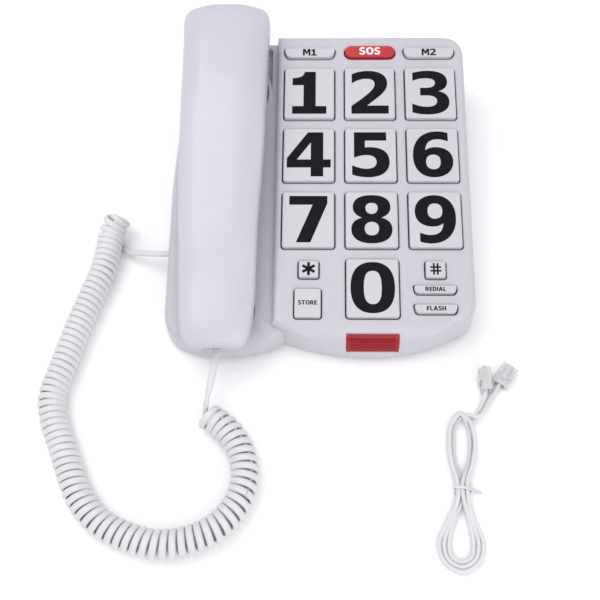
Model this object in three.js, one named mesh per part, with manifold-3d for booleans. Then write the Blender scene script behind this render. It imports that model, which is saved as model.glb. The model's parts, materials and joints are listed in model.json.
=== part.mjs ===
// Corded big-button desk telephone: sloping base, handset in its cradle, curly handset cord
// and a loose, folded line cord. Millimetres, +X right, +Y to the rear, +Z up.
import * as THREE from 'three';
import { mergeVertices } from 'three/addons/utils/BufferGeometryUtils.js';
import Module from 'manifold-3d';

const wasm = await Module();
wasm.setup();

// ---------------------------------------------------------------- driving dimensions
const TILT = THREE.MathUtils.degToRad(7);  // slope of the keypad, rear edge higher
const SLOPE = Math.tan(TILT);
const PANEL_HEIGHT = 36.5;                 // keypad surface above the table at y = 0
const WALL = 2.5;
const GAP = 0.3;                           // clearance between neighbouring pieces
const CHANNEL_DROP = 6.5;                  // handset channel below the keypad surface
const CRADLE_DEPTH = 8;                    // depth of the two cup wells below the channel
const EDGE = 4;                            // rounding of the upper rim

const LEFT = -93.2;
const RIGHT = 92.2;
const REAR = 110;
const FRONT = -101;
const STEP_X = -28.5;                      // where the keypad rises beside the channel
const PART_LINE = 5.8;                     // lower edge of the upper shell
const FOOT_HEIGHT = 2.3;
const PLATE_BOTTOM = 2.5;

const KEY_X = 31;                          // middle key column
const COLUMN_PITCH = 38.5;
const ROW_PITCH = 44.5;
const ROW_2_Y = 21.2;                      // centre of the 4-5-6 row, along the slope
const KEY_WIDTH = 31.9;
const KEY_LENGTH = 37.4;
const KEY_PROUD = 2.4;                     // height of a cap above the keypad
const KEY_CLEARANCE = 0.45;
const KEY_TRAVEL = 1.5;
const FLANGE = 0.8;                        // rim that keeps a cap behind the keypad

const HANDSET_X = -60.6;
const HANDSET_Y = 8.9;
const HANDSET_HALF = 114.5;
const EAR_Y = 64;                          // along the handset
const MOUTH_Y = -85.5;
const EAR_RADIUS = 24;
const MOUTH_RADIUS = 19.5;
const EAR_BOW = 3;                         // the ear end's edge bends back towards its sides

const COIL_DIAMETER = 16.5;
const LEAD_DIAMETER = 3.6;
const LINE_CORD_DIAMETER = 2.6;

// ---------------------------------------------------------------- finishes
const finishes = {
  shell: [0xe9e7ef, 0.34, 0],
  grip: [0xeceaf1, 0.3, 0],
  cap: [0xf1f0f5, 0.38, 0],
  redCap: [0xd9303c, 0.35, 0],
  lamp: [0xcf1f2f, 0.2, 0],
  darkPlastic: [0x2b2b2e, 0.5, 0],
  clearPlastic: [0xdfe3e6, 0.12, 0],
  cord: [0xeeedf2, 0.45, 0],
  silicone: [0xb9bcc2, 0.7, 0],
  board: [0x2f6b3f, 0.55, 0],
  rubber: [0x3a3a3c, 0.85, 0],
  steel: [0xaeb2b8, 0.35, 1],
  ballast: [0x8b8f94, 0.55, 1],
  ribbon: [0xc9c6bd, 0.6, 0],
};

const telephone = new THREE.Group();
const keypad = new THREE.Group();
keypad.position.set(0, 0, PANEL_HEIGHT);
keypad.rotation.x = TILT;
const handset = new THREE.Group();
const seatHeight = PANEL_HEIGHT - CHANNEL_DROP - CRADLE_DEPTH + GAP + SLOPE * HANDSET_Y;
handset.position.set(HANDSET_X, HANDSET_Y, seatHeight);
handset.rotation.x = TILT;
telephone.add(keypad, handset);
telephone.updateMatrixWorld(true);

// ---------------------------------------------------------------- helpers
function addPart(name, geometry, finish, parent = telephone) {
  const [color, roughness, metalness] = finishes[finish];
  const material = new THREE.MeshStandardMaterial({ color, roughness, metalness });
  const mesh = new THREE.Mesh(geometry, material);
  mesh.name = name;
  parent.add(mesh);
  return mesh;
}

function solid(geometry) {
  const plain = geometry.clone();
  plain.deleteAttribute('normal');
  plain.deleteAttribute('uv');
  const merged = mergeVertices(plain, 1e-4);
  return new wasm.Manifold(new wasm.Mesh({
    numProp: 3,
    vertProperties: new Float32Array(merged.attributes.position.array),
    triVerts: new Uint32Array(merged.index.array),
  }));
}

function surface(body) {
  const mesh = body.getMesh();
  const geometry = new THREE.BufferGeometry();
  geometry.setAttribute('position', new THREE.BufferAttribute(new Float32Array(mesh.vertProperties), 3));
  geometry.setIndex(new THREE.BufferAttribute(new Uint32Array(mesh.triVerts), 1));
  geometry.computeVertexNormals();
  return geometry;
}

function box(x0, x1, y0, y1, z0, z1) {
  const geometry = new THREE.BoxGeometry(x1 - x0, y1 - y0, z1 - z0);
  return geometry.translate((x0 + x1) / 2, (y0 + y1) / 2, (z0 + z1) / 2);
}

function disc(x, y, z0, z1, radius, sides = 24, topRadius = radius) {
  const geometry = new THREE.CylinderGeometry(topRadius, radius, z1 - z0, sides);
  return geometry.rotateX(Math.PI / 2).translate(x, y, (z0 + z1) / 2);
}

function placed(geometry, group) {
  return geometry.clone().applyMatrix4(group.matrixWorld);
}

function roundedRectangle(width, length, radius, x = 0, y = 0) {
  const shape = new THREE.Shape();
  const w = width / 2 - radius;
  const l = length / 2 - radius;
  shape.absarc(x + w, y + l, radius, 0, Math.PI / 2);
  shape.absarc(x - w, y + l, radius, Math.PI / 2, Math.PI);
  shape.absarc(x - w, y - l, radius, Math.PI, Math.PI * 1.5);
  shape.absarc(x + w, y - l, radius, Math.PI * 1.5, Math.PI * 2);
  return shape;
}

function roundEdged(shape, z0, z1, edge, curveSegments = 4, bevelSegments = 2) {
  const geometry = new THREE.ExtrudeGeometry(shape, {
    depth: z1 - z0 - 2 * edge,
    bevelEnabled: edge > 0,
    bevelThickness: edge,
    bevelSize: edge,
    bevelOffset: -edge,
    bevelSegments,
    curveSegments,
  });
  return geometry.translate(0, 0, z0 + edge);
}

function tube(points, radius, sides, steps) {
  const circle = new THREE.Shape();
  circle.absarc(0, 0, radius, 0, Math.PI * 2);
  const path = new THREE.CatmullRomCurve3(points.map((p) => new THREE.Vector3(...p)), false, 'centripetal');
  return new THREE.ExtrudeGeometry(circle, { steps, extrudePath: path, curveSegments: sides / 2 });
}

// ---------------------------------------------------------------- base shell outlines
function keypadOutline(inset) {
  const left = STEP_X + inset;
  const right = RIGHT - inset;
  const rear = REAR - inset;
  const front = FRONT + inset;
  const shape = new THREE.Shape();
  shape.moveTo(left, front + 13);
  shape.bezierCurveTo(5, front - 4, 55, front - 4, right - 11, front + 13);
  shape.quadraticCurveTo(right, front + 17, right, front + 28);
  shape.lineTo(right, rear - 15);
  shape.quadraticCurveTo(right, rear, right - 15, rear);
  shape.lineTo(left, rear);
  return shape;
}

function channelOutline(inset, right) {
  const left = LEFT + inset;
  const rear = REAR - inset;
  const front = FRONT + inset;
  const shape = new THREE.Shape();
  shape.moveTo(right, front + 10);
  shape.lineTo(right, rear);
  shape.lineTo(left + 24, rear);
  shape.quadraticCurveTo(left + 6, rear, left + 5, rear - 20);
  shape.lineTo(left, 5);
  shape.lineTo(left, front + 24);
  shape.quadraticCurveTo(left, front + 8, left + 14, front + 3.5);
  shape.bezierCurveTo(left + 28, front - 2, right - 14, front - 2, right, front + 10);
  return shape;
}

// A tall block whose rounded top follows the slope of the keypad.
function slopedBlock(shape, top, edge, segments) {
  const geometry = roundEdged(shape, top - 80, top, edge, segments, 2);
  const shear = new THREE.Matrix4().set(1, 0, 0, 0, 0, 1, 0, 0, 0, SLOPE, 1, 0, 0, 0, 0, 1);
  return geometry.applyMatrix4(shear);
}

// Side profile with the front edge rolled down; everything in front of it is cut away.
function frontRoll(drop, inset) {
  const height = (y) => PANEL_HEIGHT - drop - inset + SLOPE * y;
  const start = FRONT + 14;
  const shape = new THREE.Shape();
  shape.moveTo(140, -60);
  shape.lineTo(140, 80);
  shape.lineTo(start, 80);
  shape.lineTo(start, height(start));
  shape.quadraticCurveTo(FRONT + inset + 3, height(FRONT) + 1, FRONT + inset + 0.6, PART_LINE + 4);
  shape.lineTo(FRONT + inset - 2.5, PART_LINE - 12);
  shape.lineTo(FRONT + inset - 2.5, -60);
  const geometry = new THREE.ExtrudeGeometry(shape, { depth: 240, bevelEnabled: false, curveSegments: 6 });
  const turn = new THREE.Matrix4().set(0, 0, 1, -120, 1, 0, 0, 0, 0, 1, 0, 0, 0, 0, 0, 1);
  return solid(geometry.applyMatrix4(turn));
}

function baseMass(inset) {
  const edge = inset > 0 ? 0.6 : EDGE;
  const high = solid(slopedBlock(keypadOutline(inset), PANEL_HEIGHT - inset, edge, 6));
  const channelRight = inset > 0 ? STEP_X + WALL + 2 : STEP_X + 7;
  const outline = channelOutline(inset, channelRight);
  const low = solid(slopedBlock(outline, PANEL_HEIGHT - CHANNEL_DROP - inset, edge, 6));
  const highCut = high.intersect(frontRoll(0, inset));
  return highCut.add(low.intersect(frontRoll(CHANNEL_DROP, inset)));
}

// ---------------------------------------------------------------- key layout
function keyPlace(column, row) {
  return [KEY_X + column * COLUMN_PITCH, ROW_2_Y + (1 - row) * ROW_PITCH];
}

const keyList = [];
function addKey(name, x, y, width, length, radius, finish = 'cap', taper = 0) {
  keyList.push({ name, x, y, width, length, radius, finish, taper });
}

for (let digit = 1; digit <= 9; digit += 1) {
  const [x, y] = keyPlace(((digit - 1) % 3) - 1, Math.floor((digit - 1) / 3));
  addKey(`key_${digit}`, x, y, KEY_WIDTH, KEY_LENGTH, 1.8);
}
const [zeroX, zeroY] = keyPlace(0, 3);
addKey('key_0', zeroX, zeroY, KEY_WIDTH - 0.5, KEY_LENGTH, 1.8);
addKey('key_star', zeroX - 38, zeroY + 11.9, 12, 10.9, 1.2);
addKey('key_hash', zeroX + 37.5, zeroY + 11.9, 12, 10.9, 1.2);
addKey('key_store', zeroX - 38.4, zeroY - 9.6, 15.8, 18.4, 1.4);
addKey('key_redial', zeroX + 37, zeroY - 0.8, 25.2, 5.3, 1.2, 'cap', 2);
addKey('key_flash', zeroX + 37, zeroY - 13, 25.2, 5.8, 1.2, 'cap', 2);
const memoryY = ROW_2_Y + ROW_PITCH + 30.4;
addKey('key_m1', KEY_X - COLUMN_PITCH, memoryY, KEY_WIDTH + 0.7, 7.2, 1.6, 'cap', 3);
addKey('key_sos', KEY_X + 0.4, memoryY + 1, KEY_WIDTH + 0.3, 8.8, 4.2, 'redCap');
addKey('key_m2', KEY_X + COLUMN_PITCH, memoryY, KEY_WIDTH + 0.7, 7.2, 1.6, 'cap', 3);

// Cap outline; a taper draws the front corners inwards like a boat.
function keyOutline(key, grow) {
  const width = key.width + 2 * grow;
  const length = key.length + 2 * grow;
  if (key.taper === 0) {
    return roundedRectangle(width, length, key.radius + grow, key.x, key.y);
  }
  const w = width / 2;
  const l = length / 2;
  const shape = new THREE.Shape();
  shape.moveTo(key.x - w, key.y + l - key.radius);
  shape.quadraticCurveTo(key.x - w + key.taper * 0.1, key.y - l, key.x - w + key.taper * 1.6, key.y - l);
  shape.lineTo(key.x + w - key.taper * 1.6, key.y - l);
  shape.quadraticCurveTo(key.x + w - key.taper * 0.1, key.y - l, key.x + w, key.y + l - key.radius);
  shape.quadraticCurveTo(key.x + w, key.y + l, key.x + w - key.radius, key.y + l);
  shape.lineTo(key.x - w + key.radius, key.y + l);
  shape.quadraticCurveTo(key.x - w, key.y + l, key.x - w, key.y + l - key.radius);
  return shape;
}

function flatPrism(shape, z0, z1, curveSegments = 2) {
  const options = { depth: z1 - z0, bevelEnabled: false, curveSegments };
  return new THREE.ExtrudeGeometry(shape, options).translate(0, 0, z0);
}

function keyCap(key) {
  const cap = solid(roundEdged(keyOutline(key, 0), -4, KEY_PROUD, 0.9, 2, 1));
  const flange = solid(flatPrism(keyOutline(key, FLANGE), -WALL - GAP - 1, -WALL - GAP));
  return surface(cap.add(flange));
}

// ---------------------------------------------------------------- base
const jackSide = { x: LEFT, y: -34.5, z: 12.6 };      // curly cord socket, left side
const jackRear = { x: 34, z: 15 };                  // line socket, rear side
const ringer = { x: 62, z: 15 };                    // ringer volume slider, rear side
const plunger = { x: HANDSET_X, y: 54, half: 3.5, top: 27.7, bottom: 18.6 };
const lampHalf = 15.3;
const lampRear = FRONT + 6.3;
const lampSill = 11.5;

const screws = [[RIGHT - 5.6, 70], [RIGHT - 5.6, -62], [LEFT + 5.6, 30], [LEFT + 5.6, -60]];
const feet = [[-74, 86], [74, 90], [-76, -80], [70, -76]];
const speaker = { x: 20, y: -32, radius: 14 };

function wellTool(y, radius, floor, ceiling) {
  return solid(placed(disc(0, y, floor, ceiling, radius, 28), handset));
}

function baseTop() {
  const outer = baseMass(0);
  let shell = outer.subtract(baseMass(WALL));
  shell = shell.add(solid(placed(box(8, 30.8, 58, 100.4, 0.1, 12), handset)).intersect(outer));
  shell = shell.subtract(solid(placed(box(10, 28.4, 61, 98, 2.5, 30), handset)));
  const wells = [[EAR_Y, EAR_RADIUS + 2.4], [MOUTH_Y, MOUTH_RADIUS + 2]];
  for (const [y, radius] of wells) {
    shell = shell.add(wellTool(y, radius + 2.4, -GAP - 2.4, 12).intersect(outer));
  }
  for (const [y, radius] of wells) {
    shell = shell.subtract(wellTool(y, radius, -GAP, 30));
  }
  for (const [x, y] of screws) {
    const boss = solid(disc(x, y, PART_LINE, 16, 3.6, 16)).intersect(outer);
    shell = shell.add(boss).subtract(solid(disc(x, y, 0, 14, 1.7, 12)));
  }
  for (const key of keyList) {
    shell = shell.subtract(solid(placed(flatPrism(keyOutline(key, KEY_CLEARANCE), -8, 8), keypad)));
  }
  const p = plunger;
  const reach = p.half + 0.5;
  shell = shell.subtract(solid(box(p.x - reach, p.x + reach, p.y - reach, p.y + reach, 10, 40)));
  shell = shell.subtract(solid(box(LEFT - 5, LEFT + 6, jackSide.y - 6.5, jackSide.y + 6.5, 8, 17.2)));
  shell = shell.subtract(solid(box(jackRear.x - 7.3, jackRear.x + 7.3, REAR - 8, REAR + 5, 9, 21)));
  shell = shell.subtract(solid(box(ringer.x - 5.5, ringer.x + 5.5, REAR - 8, REAR + 5, 13, 17)));
  const lampX = lampHalf + GAP;
  const rear = lampRear + GAP;
  shell = shell.subtract(solid(box(KEY_X - lampX, KEY_X + lampX, FRONT - 9, rear, lampSill - GAP, 50)));
  return shell.subtract(solid(box(-150, 150, -150, 150, -90, PART_LINE)));
}

function baseBottom() {
  const top = PART_LINE - GAP;
  const plate = solid(flatPrism(keypadOutline(0), PLATE_BOTTOM, top, 6));
  let tray = plate.add(solid(flatPrism(channelOutline(0, STEP_X + 7), PLATE_BOTTOM, top, 6)));
  for (const [x, y] of screws) {
    tray = tray.subtract(solid(disc(x, y, 0, top + 1, 1.9, 12)));
    tray = tray.subtract(solid(disc(x, y, 0, PLATE_BOTTOM + 1.6, 3.4, 16)));
  }
  for (let i = 0; i < 6; i += 1) {
    const turn = i * Math.PI / 3;
    const x = speaker.x + 8 * Math.cos(turn);
    const y = speaker.y + 8 * Math.sin(turn);
    tray = tray.subtract(solid(disc(x, y, 0, top + 1, 2.2, 6)));
  }
  for (const [x, y] of [[-68, 40], [-40, 84], [50, 84], [76, 40], [4, 36]]) {
    tray = tray.add(solid(disc(x, y, top - 0.5, 8 - GAP, 3, 10)));
  }
  return tray;
}

function ringLamp() {
  const outer = frontRoll(0, -0.7).subtract(frontRoll(0, WALL));
  const window = solid(box(KEY_X - lampHalf, KEY_X + lampHalf, FRONT - 9, lampRear, lampSill, 50));
  let lens = outer.intersect(window);
  const ribs = 10;
  const pitch = 2 * lampHalf / ribs;
  const core = frontRoll(0, 0.1);
  for (let i = 1; i < ribs; i += 1) {
    const x = KEY_X - lampHalf + i * pitch;
    lens = lens.subtract(solid(box(x - 0.35, x + 0.35, FRONT - 9, lampRear + 1, 0, 50)).subtract(core));
  }
  return lens;
}

function socket(x0, x1, y0, y1, z0, z1, hollow) {
  return solid(box(x0, x1, y0, y1, z0, z1)).subtract(solid(box(...hollow)));
}

function makeBase() {
  addPart('base_bottom', surface(baseBottom()), 'shell');
  addPart('base_top', surface(baseTop()), 'shell');
  addPart('ring_lamp', surface(ringLamp()), 'lamp');
  const led = new THREE.SphereGeometry(2.5, 12, 8).translate(KEY_X, FRONT + 12, 13.5);
  addPart('lamp_led', led, 'clearPlastic');

  screws.forEach(([x, y], i) => {
    const z = PLATE_BOTTOM + 0.1;
    const profile = [[0, z], [3, z], [3, z + 1.2], [1.4, z + 1.4], [1.4, z + 9], [0, z + 10.5]];
    const screw = new THREE.LatheGeometry(profile.map((p) => new THREE.Vector2(...p)), 12);
    addPart(`base_screw_${i + 1}`, screw.rotateX(Math.PI / 2).translate(x, y, 0), 'steel');
  });
  feet.forEach(([x, y], i) => {
    addPart(`foot_${i + 1}`, disc(x, y, 0, FOOT_HEIGHT, 7, 20, 6.4), 'rubber');
  });

  const left = jackSide.x;
  const y = jackSide.y;
  const z = jackSide.z;
  const sideHollow = [left - 5, left + 11, y - 4.2, y + 4.2, z - 3.2, z + 3.2];
  const side = socket(left + 0.8, left + 14, y - 6, y + 6, z - 4.2, z + 4.2, sideHollow);
  addPart('base_cord_jack', surface(side), 'darkPlastic');

  const x = jackRear.x;
  const rearHollow = [x - 5, x + 5, REAR - 11, REAR + 5, 11.5, 18.5];
  const rear = socket(x - 7, x + 7, REAR - 14, REAR - 0.8, 9.9, 20.7, rearHollow);
  addPart('line_jack', surface(rear), 'darkPlastic');

  const knob = solid(box(ringer.x - 5, ringer.x + 2, REAR - 5.5, REAR - WALL - GAP, 11.5, 18.5));
  const nib = solid(box(ringer.x - 3.2, ringer.x + 0.2, REAR - 4, REAR + 1.4, 13.5, 16.5));
  addPart('ringer_slider', surface(knob.add(nib)), 'darkPlastic');

  const p = plunger;
  const stem = solid(box(p.x - p.half, p.x + p.half, p.y - p.half, p.y + p.half, p.bottom, p.top));
  const collar = solid(box(p.x - 5.2, p.x + 5.2, p.y - 5.2, p.y + 5.2, p.bottom, p.bottom + 1.6));
  addPart('hook_plunger', surface(stem.add(collar)), 'cap');
  addPart('hook_switch', box(p.x - 7, p.x + 7, p.y - 4, p.y + 4, 9.9, p.bottom - GAP), 'darkPlastic');
  addPart('main_board', box(-74, 80, 34, 90, 8, 9.6), 'board');
  addPart('ringer_speaker', disc(speaker.x, speaker.y, 5.9, 12.4, speaker.radius, 24, 10), 'darkPlastic');
  addPart('ballast_weight', box(-82, -36, -28, 26, 5.9, 12.5), 'ballast');
}

function makeKeypad() {
  for (const key of keyList) {
    addPart(key.name, keyCap(key), key.finish, keypad);
  }
  const domeTop = -WALL - GAP - 1 - KEY_TRAVEL - 0.3;
  const sheetTop = domeTop - 1.1;
  const front = zeroY - 16;
  const rear = memoryY + 6;
  let membrane = solid(box(STEP_X + 5, 81, front, rear, sheetTop - 1, sheetTop));
  for (const key of keyList) {
    const dome = disc(key.x, key.y, sheetTop - 0.5, domeTop, 3.2, 8, 2.2);
    membrane = membrane.add(solid(dome));
  }
  addPart('keypad_membrane', surface(membrane), 'silicone', keypad);
  const boardTop = sheetTop - 1 - GAP;
  addPart('keypad_board', box(STEP_X + 5, 81, front, rear, boardTop - 1.6, boardTop), 'board', keypad);
  const ribbon = new THREE.Shape();
  ribbon.moveTo(0, 10);
  ribbon.bezierCurveTo(14, 10, 16, 16, 10, 20);
  ribbon.bezierCurveTo(6, 23, 6, 26, 9, 28.5);
  ribbon.lineTo(9.8, 28);
  ribbon.bezierCurveTo(7.2, 26, 7.2, 23.4, 11, 20.6);
  ribbon.bezierCurveTo(18, 15.4, 14.6, 9.2, 0, 9.2);
  const width = { depth: 16, bevelEnabled: false, curveSegments: 5 };
  const turn = new THREE.Matrix4().set(0, 0, 1, 40, 1, 0, 0, 60, 0, 1, 0, 0.7, 0, 0, 0, 1);
  addPart('ribbon_cable', new THREE.ExtrudeGeometry(ribbon, width).applyMatrix4(turn), 'ribbon');
}

// ---------------------------------------------------------------- handset
// The grip is a stretched sphere: u runs along it from the mouth end (-1) to the ear end (1).
function smooth(a, b, t) {
  const s = THREE.MathUtils.clamp((t - a) / (b - a), 0, 1);
  return s * s * (3 - 2 * s);
}

function gripSection(y) {
  const ear = smooth(5, 58, y);
  const mouth = smooth(-36, -84, y);
  return {
    halfWidth: 26 + 0.012 * y - 2.2 * smooth(25, -60, y) + 1.2 * smooth(84, 108, y),
    top: 38.6 + 5.2 * ear - 7.2 * mouth,
    bottom: 17 - 7.6 * ear - 9.4 * mouth,
  };
}

function gripMass(inset) {
  const rings = 22;
  const around = 24;
  const half = HANDSET_HALF - inset;
  const geometry = new THREE.SphereGeometry(1, around, rings);
  const position = geometry.attributes.position;
  for (let i = 0; i < position.count; i += 1) {
    const u = THREE.MathUtils.clamp(position.getY(i), -1, 1);
    const along = Math.sign(u) * Math.abs(u) ** 0.55;
    const y = half * along;
    const blunt = u > 0 ? 13 : 7;
    const widthEnd = Math.max(0, 1 - Math.abs(along) ** blunt) ** (1 / blunt);
    const bluntHeight = u > 0 ? 4 : 3.5;
    const heightEnd = Math.max(0, 1 - Math.abs(along) ** bluntHeight) ** (1 / bluntHeight);
    const ring = Math.hypot(position.getX(i), position.getZ(i));
    const cosine = ring > 1e-6 ? position.getX(i) / ring : 0;
    const sine = ring > 1e-6 ? position.getZ(i) / ring : 0;
    const s = gripSection(y);
    const middle = (s.top + s.bottom) / 2;
    const power = 2 / 2.7;
    const across = widthEnd * Math.sign(cosine) * Math.abs(cosine) ** power;
    const x = (s.halfWidth - inset) * across;
    const bow = EAR_BOW * smooth(0.6, 1, along) * across * across;
    const tall = ((s.top - s.bottom) / 2 - inset) * heightEnd;
    const z = middle + tall * Math.sign(sine) * Math.abs(sine) ** power;
    position.setXYZ(i, ring > 1e-6 ? x : 0, ring > 1e-6 ? y - bow : y, ring > 1e-6 ? z : middle);
  }
  const body = solid(geometry);
  return body.volume() < 0 ? solid(geometry.scale(-1, 1, 1)) : body;
}

const handsetScrews = [28, -48];
const slotZ = 16.5;                                 // cord socket in the mouth end

function handsetShells() {
  const earCup = solid(disc(0, EAR_Y, 0, 16, EAR_RADIUS - 2, 28, EAR_RADIUS + 1));
  const mouthCup = solid(disc(0, MOUTH_Y, 0, 14, MOUTH_RADIUS - 2, 28, MOUTH_RADIUS + 0.8));
  const earHollow = solid(disc(0, EAR_Y, WALL, 22, EAR_RADIUS - 4.5, 24));
  const mouthHollow = solid(disc(0, MOUTH_Y, WALL, 18, MOUTH_RADIUS - 4.5, 24));
  const outer = gripMass(0).add(earCup).add(mouthCup);
  let shell = outer.subtract(gripMass(WALL).add(earHollow).add(mouthHollow));
  for (let i = 0; i < 7; i += 1) {
    const turn = i * Math.PI / 3;
    const radius = i < 6 ? 8 : 0;
    const x = radius * Math.cos(turn);
    const y = EAR_Y + radius * Math.sin(turn);
    shell = shell.subtract(solid(disc(x, y, -2, WALL + 1, 1.3, 6)));
  }
  for (let i = -1; i <= 1; i += 1) {
    shell = shell.subtract(solid(disc(i * 5, MOUTH_Y, -2, WALL + 1, 1.1, 6)));
  }
  for (const y of handsetScrews) {
    shell = shell.add(solid(disc(0, y, 10, 50, 4.4, 14)).intersect(outer));
    shell = shell.subtract(solid(disc(0, y, 10, 32, 1.6, 10)));
    shell = shell.subtract(solid(disc(0, y, 8, 20.5, 3.2, 12)));
  }
  const slot = box(-6.5, 6.5, -HANDSET_HALF - 3, -HANDSET_HALF + 20, slotZ - 4.2, slotZ + 4.2);
  shell = shell.subtract(solid(slot));
  const tilt = 0.03;
  const above = solid(box(-60, 60, -140, 140, 0, 80).rotateX(tilt).translate(0, 0, 22.6));
  const below = solid(box(-60, 60, -140, 140, -80, -GAP).rotateX(tilt).translate(0, 0, 22.6));
  return [shell.intersect(above), shell.intersect(below)];
}

function makeHandset() {
  const [back, front] = handsetShells();
  addPart('handset_back', surface(back), 'grip', handset);
  addPart('handset_front', surface(front), 'grip', handset);
  addPart('receiver', disc(0, EAR_Y, WALL + GAP, 11, 17, 28, 14), 'darkPlastic', handset);
  addPart('microphone', disc(0, MOUTH_Y, WALL + GAP, 8.5, 5, 18), 'darkPlastic', handset);
  addPart('handset_weight', box(-8, 8, -38, 20, 24.5, 31), 'ballast', handset);
  const end = -HANDSET_HALF;
  const hollow = [-4.2, 4.2, end - 5, end + 15, slotZ - 3.2, slotZ + 3.2];
  const jack = socket(-6.2, 6.2, end + 3, end + 18, slotZ - 3.9, slotZ + 3.9, hollow);
  addPart('handset_cord_jack', surface(jack), 'darkPlastic', handset);
  handsetScrews.forEach((y, i) => {
    const profile = [[0, 18.2], [2.7, 18.2], [2.7, 20.2], [1.3, 20.4], [1.3, 29], [0, 30.5]];
    const screw = new THREE.LatheGeometry(profile.map((p) => new THREE.Vector2(...p)), 12);
    const upright = screw.rotateX(Math.PI / 2).translate(0, y, 0);
    addPart(`handset_screw_${i + 1}`, upright, 'steel', handset);
  });
  const plug = solid(box(-3.8, 3.8, end + 3.5, end + 14.5, slotZ - 2.9, slotZ + 2.9));
  addPart('handset_plug', surface(plug), 'clearPlastic', handset);
}

// ---------------------------------------------------------------- curly handset cord
const coilZ = COIL_DIAMETER / 2 + 0.1;
const coilRoute = [
  [-131.5, -8], [-133.5, -26], [-135.5, -44], [-141, -63], [-147, -85], [-152, -107],
  [-156.5, -130], [-153, -145], [-146.5, -160], [-140.5, -174.5], [-133.5, -189], [-121.5, -202.5],
  [-106, -210.5], [-88.5, -214.8], [-70, -212], [-54.5, -203.5], [-44.8, -190], [-41.7, -175],
  [-45.5, -159.5], [-54.5, -147.5], [-64.5, -140.5],
];

function makeHandsetCord() {
  const sidePlug = box(LEFT - 1, LEFT + 10, jackSide.y - 3.8, jackSide.y + 3.8, jackSide.z - 2.9, jackSide.z + 2.9);
  addPart('base_plug', sidePlug, 'clearPlastic');
  const lead = [
    [LEFT - 1.3, jackSide.y, jackSide.z], [LEFT - 9, jackSide.y + 0.4, jackSide.z - 0.6],
    [LEFT - 20, jackSide.y + 3, 10], [-124.6, jackSide.y + 5.5, coilZ],
  ];
  addPart('cord_base_lead', tube(lead, LEAD_DIAMETER / 2, 8, 8), 'cord');
  const route = coilRoute.map(([x, y]) => [x, y, coilZ]);
  addPart('cord_coil', tube(route, COIL_DIAMETER / 2, 12, 26), 'cord');
  const handsetLead = [
    [-65.6, -139.6, coilZ], [-65.6, -133.5, 10.5], [-63.4, -126, 14], [-61.1, -117.5, 17.6],
    [-60.6, -105.6, 19.6],
  ];
  addPart('cord_handset_lead', tube(handsetLead, LEAD_DIAMETER / 2, 8, 8), 'cord');
}

// ---------------------------------------------------------------- loose line cord
const lineZ = 2.4;

function hankOutline() {
  const points = [
    [77, -228.6], [87.8, -222], [91, -213], [88, -199], [83.9, -186], [83.9, -178],
    [88, -167], [90.3, -154], [87.5, -143], [82, -133.4], [76.5, -134.4], [73, -143],
    [73, -160], [76.2, -178], [76.2, -186], [70, -199], [64.4, -214], [67, -223.6],
  ];
  const curve = new THREE.CatmullRomCurve3(points.map(([x, y]) => new THREE.Vector3(x, y, 0)), true);
  return new THREE.Shape(curve.getPoints(44).slice(0, -1).map((p) => new THREE.Vector2(p.x, p.y)));
}

function linePlug(length, width, height) {
  const body = solid(box(-width / 2, width / 2, 0, length, 0, height));
  const latch = solid(box(-1.6, 1.6, 3, length - 0.5, height - 0.2, height + 1.2));
  return surface(body.add(latch));
}

function makeLineCord() {
  addPart('line_hank', flatPrism(hankOutline(), 1.4, 6.4), 'cord');
  const waist = -182;
  const outer = solid(box(74.9, 85.2, waist - 1.4, waist + 1.4, 0.1, 7.5));
  const inner = solid(box(75.7, 84.4, waist - 3, waist + 3, 1, 6.7));
  addPart('line_tie', surface(outer.subtract(inner)), 'cord');
  const first = [[89.6, -142, lineZ], [92.2, -134, lineZ], [96, -127.6, lineZ], [97.2, -123, lineZ]];
  addPart('line_lead_1', tube(first, LINE_CORD_DIAMETER / 2, 8, 7), 'cord');
  const second = [[92.6, -141, lineZ], [95.8, -133.4, lineZ], [100.2, -126, lineZ], [104.9, -118.7, lineZ]];
  addPart('line_lead_2', tube(second, LINE_CORD_DIAMETER / 2, 8, 7), 'cord');
  const onSide = linePlug(14, 9.7, 6.6).translate(0, 0, -3.3).rotateY(-Math.PI / 2);
  addPart('line_plug_1', onSide.translate(97.2, -122.4, 5.1), 'clearPlastic');
  const flat = linePlug(14, 9.7, 6.6).rotateZ(-0.6);
  addPart('line_plug_2', flat.translate(105.5, -117.8, 0.2), 'clearPlastic');
}

makeBase();
makeKeypad();
makeHandset();
makeHandsetCord();
makeLineCord();

// The origin is the middle of the telephone without its cords, on the table.
telephone.position.set(0.5, -6.229, 0);

export default telephone;
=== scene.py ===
"""Corded big-button desk telephone: the looks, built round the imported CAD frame.

Lengths in the construction helpers are millimetres in the telephone's own
coordinates; to_frame() turns them into the frame's metres.
"""
import json
import math

import bmesh
import bpy
import numpy as np
from mathutils import Matrix, Vector


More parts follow.
